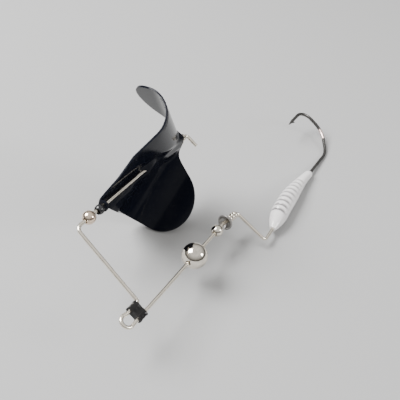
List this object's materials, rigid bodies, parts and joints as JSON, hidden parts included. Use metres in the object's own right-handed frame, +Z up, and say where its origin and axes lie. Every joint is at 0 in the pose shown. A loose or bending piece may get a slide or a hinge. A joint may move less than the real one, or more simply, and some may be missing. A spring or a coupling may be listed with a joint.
{
  "type": "spinnerbait",
  "caption": "Wire-framed surface fishing lure with a black two-winged spinning blade, loose metal balls, a ribbed white cast head and a single hook.",
  "frame": {"origin": "middle of the lying lure's box, on the surface it lies on", "axes": "+X from the line tie to the hook end, +Y from the lower run towards the blade, +Z up"},
  "size_m": [0.146, 0.0582, 0.0533],
  "materials": {
    "stainless_wire": "bright drawn wire",
    "black_shrink_sleeve": "dull satin",
    "black_blade_paint": "gloss enamel",
    "rose_gold_plate": "polished plating",
    "black_bead": "gloss",
    "nickel_plate": "polished plating",
    "dull_aluminium": "dull spun",
    "pearl_head_paint": "pearl gloss",
    "black_nickel": "smooth black nickel"
  },
  "bodies": {
    "root": {"frame_wire": "stainless_wire", "line_tie_sleeve": "black_shrink_sleeve", "ribbed_stop": "nickel_plate", "head": "pearl_head_paint", "hook": "black_nickel"},
    "blade": {"buzz_blade": "black_blade_paint"},
    "front_bead": {"front_bead": "rose_gold_plate"},
    "spacer_bead": {"spacer_bead": "black_bead"},
    "rear_rivet": {"rear_rivet": "nickel_plate"},
    "large_ball": {"large_ball": "nickel_plate"},
    "small_ball": {"small_ball": "nickel_plate"},
    "bead_cup": {"bead_cup": "dull_aluminium"}
  },
  "joints": [
    {"name": "blade_spin", "type": "hinge", "parent": "root", "child": "blade", "pos_m": [-0.0227, 0.01443, 0.02768], "axis": [0.9977, 0, -0.068], "continuous": true},
    {"name": "front_bead_slide", "type": "slide", "parent": "root", "child": "front_bead", "axis": [0.9977, 0, -0.068], "range_m": [-0.0011, 0.0009]},
    {"name": "spacer_bead_spin", "type": "hinge", "parent": "root", "child": "spacer_bead", "pos_m": [-0.0481, 0.01423, 0.0293], "axis": [0.9977, 0, -0.068], "continuous": true},
    {"name": "rear_rivet_spin", "type": "hinge", "parent": "root", "child": "rear_rivet", "pos_m": [0.00254, 0.01443, 0.02596], "axis": [0.9977, 0, -0.068], "continuous": true},
    {"name": "large_ball_slide", "type": "slide", "parent": "root", "child": "large_ball", "axis": [0.9977, 0, -0.068], "range_m": [-0.0228, 0.0052]},
    {"name": "small_ball_slide", "type": "slide", "parent": "root", "child": "small_ball", "axis": [0.9977, 0, -0.068], "range_m": [-0.0029, 0.0022]},
    {"name": "bead_cup_spin", "type": "hinge", "parent": "root", "child": "bead_cup", "pos_m": [-0.01129, -0.01404, 0.01141], "axis": [0.9849, -0.1147, -0.1296], "continuous": true}
  ]
}
